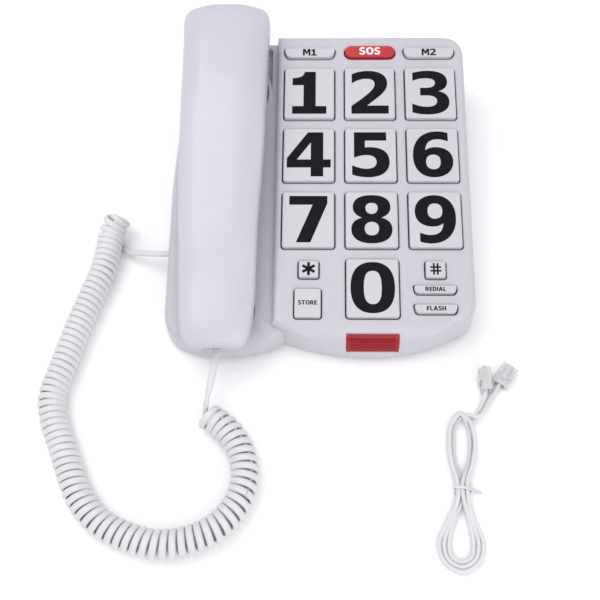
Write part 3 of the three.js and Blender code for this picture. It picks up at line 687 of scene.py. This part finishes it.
def key_outline(key, grow):
    _, x, y, width, length, radius, taper, _, _ = key
    width, length = width + 2 * grow, length + 2 * grow
    if not taper:
        return rounded_rectangle(width, length, max(0.4, radius + grow), x, y)
    w, l = width / 2, length / 2
    r = radius
    return outline((x - w, y + l - r), ((x - w + taper * 0.1, y - l), (x - w + taper * 1.6, y - l)),
                   ((x + w - taper * 1.6, y - l),),
                   ((x + w - taper * 0.1, y - l), (x + w, y + l - r)), ((x + w, y + l), (x + w - r, y + l)),
                   ((x - w + r, y + l),), ((x - w, y + l), (x - w, y + l - r)), steps=8)


def make_base_shell():
    outer = base_mass(0)
    keep = duplicate(outer)
    combine(outer, base_mass(WALL), "DIFFERENCE")
    wells = ((EAR_Y, EAR_R + 2.4), (MOUTH_Y, MOUTH_R + 2))
    relief = box("relief", 8, 30.8, 58, 100.4, 0.1, 12, HANDSET)
    combine(relief, keep, "INTERSECT", keep_tool=True)
    combine(outer, relief, "UNION")
    pocket = rounded_rectangle(18.4, 37, 2.5, 19.2, 79.5)
    levels = [(pocket, 2.5), (pocket, CRADLE - GAP - 0.9), (grown(pocket, 0.3), CRADLE - GAP - 0.3),
              (grown(pocket, 0.9), CRADLE - GAP + 0.1), (grown(pocket, 1.2), 30)]
    combine(outer, stack("pocket", levels, HANDSET), "DIFFERENCE")
    for y, radius in wells:
        cup = disc("cup", 0, y, -GAP - 2.4, 12, radius + 2.4, 72, place=HANDSET)
        combine(cup, keep, "INTERSECT", keep_tool=True)
        combine(outer, cup, "UNION")
    drop(keep)
    for y, radius in wells:
        ring = well_ring(y, radius)
        rim = CRADLE - GAP
        levels = [(grown(ring, -0.8), -GAP), (grown(ring, -0.25), -GAP + 0.25), (ring, -GAP + 0.9), (ring, rim - 1.0),
                  (grown(ring, 0.3), rim - 0.35), (grown(ring, 1.0), rim + 0.05), (grown(ring, 1.6), rim + 0.6),
                  (grown(ring, 1.6), 30)]
        combine(outer, stack("well", levels, HANDSET), "DIFFERENCE")
    for key in KEYS:
        levels = [(key_outline(key, CLEARANCE), -8), (key_outline(key, CLEARANCE), -0.45),
                  (key_outline(key, CLEARANCE + 0.12), -0.15), (key_outline(key, CLEARANCE + 0.4), 0.02),
                  (key_outline(key, CLEARANCE + 0.4), 8)]
        combine(outer, stack("opening", levels, KEYPAD), "DIFFERENCE")
    window = LAMP_HALF + GAP
    for name, *sides in (
        ("plunger_hole", HANDSET_X - 4, HANDSET_X + 4, 50, 58, 10, 40),
        ("side_jack_hole", LEFT - 5, LEFT + 6, JACK_Y - 6.5, JACK_Y + 6.5, 8, 17.2),
        ("line_jack_hole", LINE_SOCKET_X - 7.3, LINE_SOCKET_X + 7.3, REAR - 8, REAR + 5, 9, 21),
        ("slider_hole", RINGER_X - 5.5, RINGER_X + 5.5, REAR - 8, REAR + 5, 13, 17),
        ("lamp_hole", KEY_X - window, KEY_X + window, FRONT - 9, LAMP_REAR + GAP, LAMP_SILL - GAP, 50),
        ("below", -150, 150, -150, 150, -90, PART_LINE),
    ):
        combine(outer, box(name, *sides), "DIFFERENCE")
    soften(outer, 30)
    finish_piece(outer, "base", LOOKS["shell"], ("base_top",))


# ---------------------------------------------------------------- legends
GLYPHS = {
    "0": ["M 42 102 C 14 102 0 84 0 50 C 0 16 14 -2 42 -2 C 70 -2 84 16 84 50 C 84 84 70 102 42 102",
          "M 42 84 C 30 84 25 74 25 50 C 25 26 30 16 42 16 C 54 16 59 26 59 50 C 59 74 54 84 42 84"],
    "1": ["M 2 0 L 72 0 L 72 18 L 50 18 L 50 100 L 27 100 C 26 90 18 85 2 85 L 2 68 L 25 68 L 25 18 L 2 18"],
    "2": ["M 2 0 L 78 0 L 78 19 L 34 19 C 52 36 76 50 76 72 C 76 92 60 102 37 102 C 24 102 12 99 3 94 L 3 72"
          " C 12 79 23 83 33 83 C 45 83 50 78 50 70 C 50 58 36 45 2 18"],
    "3": ["M 2 3 C 13 -1 24 -2 34 -2 C 62 -2 78 9 78 28 C 78 42 70 50 56 53 C 68 56 75 64 75 76"
          " C 75 93 60 102 35 102 C 24 102 13 100 4 97 L 4 78 C 13 82 22 84 31 84 C 44 84 50 80 50 73"
          " C 50 65 43 61 30 61 L 19 61 L 19 43 L 31 43 C 46 43 53 38 53 30 C 53 21 46 16 32 16"
          " C 22 16 11 19 2 24"],
    "4": ["M 48 0 L 73 0 L 73 20 L 88 20 L 88 38 L 73 38 L 73 100 L 42 100 L 0 41 L 0 20 L 48 20",
          "M 48 38 L 48 77 L 20 38"],
    "5": ["M 6 100 L 71 100 L 71 81 L 28 81 L 28 65 C 32 66 35 66 38 66 C 63 66 77 54 77 33 C 77 11 61 -2 34 -2"
          " C 23 -2 12 0 2 4 L 2 25 C 12 20 22 17 31 17 C 44 17 51 23 51 32 C 51 42 44 48 31 48"
          " C 23 48 15 46 6 42"],
    "6": ["M 72 98 L 72 79 C 65 82 58 84 52 84 C 35 84 27 76 26 59 C 32 64 39 66 47 66 C 68 66 81 53 81 34"
          " C 81 12 65 -2 42 -2 C 17 -2 1 16 1 47 C 1 81 20 102 50 102 C 57 102 65 101 72 98",
          "M 42 49 C 32 49 27 43 27 33 C 27 22 32 16 42 16 C 51 16 56 22 56 33 C 56 43 51 49 42 49"],
    "7": ["M 2 100 L 77 100 L 77 84 L 44 0 L 16 0 L 48 81 L 2 81"],
    "8": ["M 41 102 C 66 102 78 92 78 76 C 78 65 71 57 60 53 C 74 49 81 41 81 28 C 81 8 65 -2 41 -2"
          " C 17 -2 1 8 1 28 C 1 41 8 49 22 53 C 11 57 4 65 4 76 C 4 92 16 102 41 102",
          "M 41 85 C 33 85 29 81 29 74 C 29 67 33 61 41 61 C 49 61 53 67 53 74 C 53 81 49 85 41 85",
          "M 41 44 C 32 44 27 38 27 30 C 27 21 32 15 41 15 C 50 15 55 21 55 30 C 55 38 50 44 41 44"],
    "#": ["M 22 0 L 36 0 L 36 27 L 52 27 L 52 0 L 66 0 L 66 27 L 88 27 L 88 41 L 66 41 L 66 59 L 88 59 L 88 73"
          " L 66 73 L 66 100 L 52 100 L 52 73 L 36 73 L 36 100 L 22 100 L 22 73 L 0 73 L 0 59 L 22 59 L 22 41"
          " L 0 41 L 0 27 L 22 27", "M 36 41 L 52 41 L 52 59 L 36 59"],
    "A": ["M 0 0 L 25 0 L 31 19 L 61 19 L 67 0 L 92 0 L 60 100 L 32 100", "M 37 37 L 55 37 L 46 67"],
    "D": ["M 4 0 L 36 0 C 68 0 82 18 82 50 C 82 82 68 100 36 100 L 4 100",
          "M 29 19 L 29 81 L 36 81 C 51 81 57 70 57 50 C 57 30 51 19 36 19"],
    "E": ["M 4 0 L 64 0 L 64 19 L 29 19 L 29 42 L 60 42 L 60 60 L 29 60 L 29 81 L 63 81 L 63 100 L 4 100"],
    "F": ["M 4 0 L 29 0 L 29 40 L 60 40 L 60 59 L 29 59 L 29 81 L 63 81 L 63 100 L 4 100"],
    "H": ["M 4 0 L 29 0 L 29 41 L 59 41 L 59 0 L 84 0 L 84 100 L 59 100 L 59 61 L 29 61 L 29 100 L 4 100"],
    "I": ["M 4 0 L 29 0 L 29 100 L 4 100"],
    "L": ["M 4 0 L 63 0 L 63 20 L 29 20 L 29 100 L 4 100"],
    "M": ["M 4 0 L 27 0 L 27 66 L 44 26 L 60 26 L 77 66 L 77 0 L 100 0 L 100 100 L 70 100 L 52 56 L 34 100 L 4 100"],
    "O": ["M 46 102 C 17 102 2 82 2 50 C 2 18 17 -2 46 -2 C 75 -2 90 18 90 50 C 90 82 75 102 46 102",
          "M 46 83 C 33 83 27 72 27 50 C 27 28 33 17 46 17 C 59 17 65 28 65 50 C 65 72 59 83 46 83"],
    "R": ["M 4 0 L 29 0 L 29 38 L 37 38 L 55 0 L 83 0 L 61 43 C 70 48 75 58 75 69 C 75 90 61 100 38 100 L 4 100",
          "M 29 56 L 29 82 L 37 82 C 46 82 50 77 50 69 C 50 61 46 56 37 56"],
    "S": ["M 4 5 C 14 0 24 -2 35 -2 C 60 -2 73 9 73 29 C 73 46 64 54 46 58 C 32 61 29 64 29 71 C 29 79 34 83 43 83"
          " C 51 83 60 81 68 77 L 68 96 C 60 100 50 102 41 102 C 17 102 4 90 4 71 C 4 53 13 45 32 41"
          " C 44 38 48 35 48 28 C 48 20 43 16 34 16 C 25 16 14 20 4 26"],
    "T": ["M 26 0 L 51 0 L 51 81 L 75 81 L 75 100 L 2 100 L 2 81 L 26 81"],
}


def glyph_loop(text, turned=False):
    """Points of one contour written as M, L and C moves in hundredths of the digit's height."""
    words = text.split()
    segments, start, i = [], None, 0
    while i < len(words):
        count = {"M": 1, "L": 1, "C": 3}[words[i]]
        numbers = [float(w) for w in words[i + 1:i + 1 + 2 * count]]
        points = [(82 - x, 100 - y) if turned else (x, y) for x, y in zip(numbers[::2], numbers[1::2])]
        if words[i] == "M":
            start = points[0]
        else:
            segments.append(points)
        i += 1 + 2 * count
    return outline(start, *segments, steps=9)


def text_loops(text):
    """Contours of a whole legend, set side by side and centred on the origin."""
    loops, pen = [], 0.0
    for letter in text:
        turned = letter == "9"
        shapes = [glyph_loop(g, turned) for g in GLYPHS["6" if turned else letter]]
        low = min(x for x, _ in shapes[0])
        high = max(x for x, _ in shapes[0])
        loops += [[(x - low + pen, y) for x, y in shape] for shape in shapes]
        pen += high - low + 11
    middle = (pen - 11) / 2
    return [[(x - middle, y - 50) for x, y in loop] for loop in loops]


def printed(name, text, x, y, size, height):
    """Flat raised print on a key: the contours are filled, with inner contours left open."""
    curve = bpy.data.curves.new(name, "CURVE")
    curve.dimensions = "2D"
    curve.fill_mode = "BOTH"
    curve.extrude = PRINT / 2
    for loop in text_loops(text):
        line = curve.splines.new("POLY")
        line.points.add(len(loop) - 1)
        for point, (px, py) in zip(line.points, loop):
            point.co = (px * size / 100, py * size / 100, 0, 1)
        line.use_cyclic_u = True
    source = bpy.data.objects.new(name + "_source", curve)
    bpy.context.scene.collection.objects.link(source)
    bpy.context.view_layer.update()
    graph = bpy.context.evaluated_depsgraph_get()
    mesh = bpy.data.meshes.new_from_object(source.evaluated_get(graph))
    bpy.data.objects.remove(source)
    bpy.data.curves.remove(curve)
    place = Matrix.Translation((x, y, height + PRINT / 2))
    mesh.transform(Matrix.Scale(0.001, 4) @ Matrix.Translation(ORIGIN) @ KEYPAD @ place)
    mesh.name = name
    obj = bpy.data.objects.new(name, mesh)
    bpy.context.scene.collection.objects.link(obj)
    return obj


def star(x, y, size, height):
    arms = []
    for i in range(3):
        a = math.pi / 2 + i * math.pi / 3
        along, across = Vector((math.cos(a), math.sin(a))), Vector((-math.sin(a), math.cos(a)))
        ends = [tuple(Vector((x, y)) + along * s * size / 2 + across * w * size * 0.1)
                for s, w in ((-1, -1), (1, -1), (1, 1), (-1, 1))]
        low = height + 0.002 * i
        arms.append(stack("arm", [(ends, low), (ends, low + PRINT)], KEYPAD))
    return join("legend_star", arms)


def make_keys():
    for key in KEYS:
        name, x, y, width, length, _, taper, legend, size = key
        top = KEY_PROUD
        edge = 1.0 if width > 30 and not taper else 0.8
        levels = [(key_outline(key, -CAP_GAP), -4), (key_outline(key, -CAP_GAP), top - edge)]
        for i in range(1, 6):
            a = math.pi / 2 * i / 5
            levels.append((key_outline(key, -CAP_GAP - edge * (1 - math.cos(a))), top - edge + edge * math.sin(a)))
        cap = soften(stack("cap_" + name, levels, KEYPAD), 35)
        slot = "sos_cap" if name == "sos" else "key_cap"
        body = "button_" + name
        finish_piece(cap, body, LOOKS[slot], ("key_" + name,))
        if legend == "*":
            mark = star(x, y, size, top)
        else:
            mark = printed("legend_" + name, legend, x, y, size, top)
        finish_piece(mark, body, WHITE_INK if name == "sos" else INK)


# ---------------------------------------------------------------- ringing lamp
def make_lamp():
    half = LAMP_HALF
    lens = front_roll(0, -0.7)
    combine(lens, front_roll(0, WALL), "DIFFERENCE")
    combine(lens, box("window", KEY_X - half, KEY_X + half, FRONT - 9, LAMP_REAR, LAMP_SILL, 50), "INTERSECT")
    pitch = (2 * half - 5) / LAMP_RIBS
    cutter = []
    for i in range(LAMP_RIBS + 1):
        x = KEY_X - half + 2.5 + i * pitch
        cutter.append(box("groove", x - 0.28, x + 0.28, FRONT - 12, FRONT + 12, -5, 60))
    grooves = join("grooves", cutter)
    combine(grooves, front_roll(0, 0.15), "DIFFERENCE")
    combine(lens, grooves, "DIFFERENCE")
    side = half - 2.2
    rows = join("rows", [box("row", KEY_X - side, KEY_X + side, FRONT - 12, FRONT + 12, z - 0.25, z + 0.25)
                         for z in (13.6, 15.6, 17.6, 19.6, 21.2)])
    combine(rows, front_roll(0, 0.15), "DIFFERENCE")
    combine(lens, rows, "DIFFERENCE")
    lens.name = "lamp_cover"
    soften(lens, 30)
    finish_piece(lens, "base", LOOKS["lamp_lens"], ("ring_lamp",))


# ---------------------------------------------------------------- handset
def grip_section(y):
    """Half width, top and bottom of the grip at y."""
    ear, mouth = smooth(5, 58, y), smooth(-36, -84, y)
    half_width = 26 + 0.012 * y - 2.2 * smooth(25, -60, y) + 1.2 * smooth(84, 108, y)
    return half_width, 38.6 + 5.2 * ear - 7.2 * mouth, 17 - 7.6 * ear - 9.4 * mouth


SHARPNESS = 15
EAR_BOW = 3.0


def section_point(angle):
    """Unit section: a wide crown, a soft facet along each shoulder, and upright flanks."""
    direction = np.array([math.cos(angle), math.sin(angle)])
    total = 0.0
    for normal, distance in ((90, 1.0), (46, 1.085), (134, 1.085), (0, 1.0), (180, 1.0), (-90, 1.0),
                             (-45, 1.12), (-135, 1.12)):
        n = np.array([math.cos(math.radians(normal)), math.sin(math.radians(normal))])
        total += (max(0.0, float(n @ direction)) / distance) ** SHARPNESS
    return direction / total ** (1 / SHARPNESS)


def grip_mass(name, inset):
    """The grip as one closed body, shrunk by inset."""
    rings, around = 110, 112
    half = HANDSET_HALF - inset
    unit = [section_point(2 * math.pi * i / around) for i in range(around)]
    verts, faces = [], []
    for k in range(1, rings):
        u = -math.cos(math.pi * k / rings)
        along = math.copysign(abs(u) ** 0.62, u)
        y = half * along
        blunt, blunt_height = (13, 4) if u > 0 else (7, 3.5)
        width_end = max(0.0, 1 - abs(along) ** blunt) ** (1 / blunt)
        height_end = max(0.0, 1 - abs(along) ** blunt_height) ** (1 / blunt_height)
        half_width, top, bottom = grip_section(y)
        middle = (top + bottom) / 2
        for px, pz in unit:
            bow = EAR_BOW * smooth(0.6, 1, along) * (px * width_end) ** 2
            verts.append((px * (half_width - inset) * width_end, y - bow,
                          middle + pz * ((top - bottom) / 2 - inset) * height_end))
    for k in range(rings - 2):
        for i in range(around):
            a, b = k * around + i, k * around + (i + 1) % around
            faces.append([a, b, b + around, a + around])
    for y, ring in ((-half, 0), (half, (rings - 2) * around)):
        _, top, bottom = grip_section(y)
        verts.append((0, y, (top + bottom) / 2))
        tip = len(verts) - 1
        faces += [[ring + i, ring + (i + 1) % around, tip] for i in range(around)]
    return mesh_object(name, verts, faces, HANDSET)


def cup_levels(y, low_r, high_r, top):
    """Levels of a cup that stands down from the grip, with a rounded lower rim."""
    return [(well_ring(y, low_r - 1.4), 0), (well_ring(y, low_r - 0.5), 0.25), (well_ring(y, low_r), 1.1),
            (well_ring(y, high_r), top)]


def make_handset():
    outer = grip_mass("handset_shells", 0)
    combine(outer, stack("ear", cup_levels(EAR_Y, EAR_R - 2, EAR_R + 1, 16), HANDSET), "UNION")
    combine(outer, stack("mouth", cup_levels(MOUTH_Y, MOUTH_R - 2, MOUTH_R + 0.8, 14), HANDSET), "UNION")
    combine(outer, grip_mass("inner", WALL), "DIFFERENCE")
    combine(outer, disc("e", 0, EAR_Y, WALL, 22, EAR_R - 4.5, place=HANDSET), "DIFFERENCE")
    combine(outer, disc("m", 0, MOUTH_Y, WALL, 18, MOUTH_R - 4.5, place=HANDSET), "DIFFERENCE")
    holes = []
    for ring_number, ring_count in ((0, 1), (1, 6), (2, 12)):
        for i in range(ring_count):
            a = 2 * math.pi * i / ring_count
            holes.append(disc("hole", HOLE_SPACING * ring_number * math.cos(a),
                              EAR_Y + HOLE_SPACING * ring_number * math.sin(a), -2, WALL + 1, 1.0, 16,
                              place=HANDSET))
    holes += [disc("hole", i * 5, MOUTH_Y, -2, WALL + 1, 1.1, 16, place=HANDSET) for i in (-1, 0, 1)]
    combine(outer, join("holes", holes), "DIFFERENCE")
    for y in HANDSET_SCREWS:
        combine(outer, disc("s", 0, y, 8, 20.5, 3.2, 32, place=HANDSET), "DIFFERENCE")
    slot_z, end = 16.5, -HANDSET_HALF
    slot = rounded_rectangle(13, 8.4, 0.8, 0, slot_z)
    combine(outer, stack("slot", [(slot, end - 3), (slot, end + 20)], HANDSET @ ALONG_Y), "DIFFERENCE")

    back = duplicate(outer)
    seam = HANDSET @ Matrix.Translation((0, 0, SEAM_Z)) @ Matrix.Rotation(SEAM_TILT, 4, "X")
    combine(back, box("above", -60, 60, -140, 140, 0.05, 80, seam), "INTERSECT")
    combine(outer, box("below", -60, 60, -140, 140, -80, -0.45, seam), "INTERSECT")
    back.name, outer.name = "handset_crown", "handset_underside"
    for piece, node in ((back, "handset_back"), (outer, "handset_front")):
        soften(piece, 32, False)
        finish_piece(piece, "handset", LOOKS["handset_shell"], (node,))


make_base_shell()
make_keys()
make_lamp()
make_handset()


# ---------------------------------------------------------------- floor and light
def make_stage():
    floor = mesh_object("floor", [(-3000, -3000, 0), (3000, -3000, 0), (3000, 3000, 0), (-3000, 3000, 0)],
                        [[0, 1, 2, 3]])
    floor.location.z = -0.0002
    floor.data.materials.append(material("floor", (0.96, 0.96, 0.96), 0.75, tone=0.004, tone_scale=3))
    world = bpy.data.worlds.new("studio")
    bpy.context.scene.world = world
    world.use_nodes = True
    world.node_tree.nodes["Background"].inputs["Color"].default_value = (0.97, 0.97, 1.0, 1)
    world.node_tree.nodes["Background"].inputs["Strength"].default_value = 0.78
    for name, place, size, power in (("key_light", (-0.5, 0.2, 1.05), 0.9, 5.5),
                                     ("fill_light", (0.45, -0.95, 0.8), 1.2, 6.5)):
        data = bpy.data.lights.new(name, "AREA")
        data.size = size
        data.energy = power
        data.color = (1.0, 0.99, 0.985)
        lamp = bpy.data.objects.new(name, data)
        lamp.location = place
        lamp.rotation_mode = "QUATERNION"
        lamp.rotation_quaternion = (Vector((0, -0.03, 0)) - Vector(place)).to_track_quat("-Z", "Y")
        bpy.context.scene.collection.objects.link(lamp)


make_stage()
bpy.context.scene.view_settings.view_transform = "Standard"
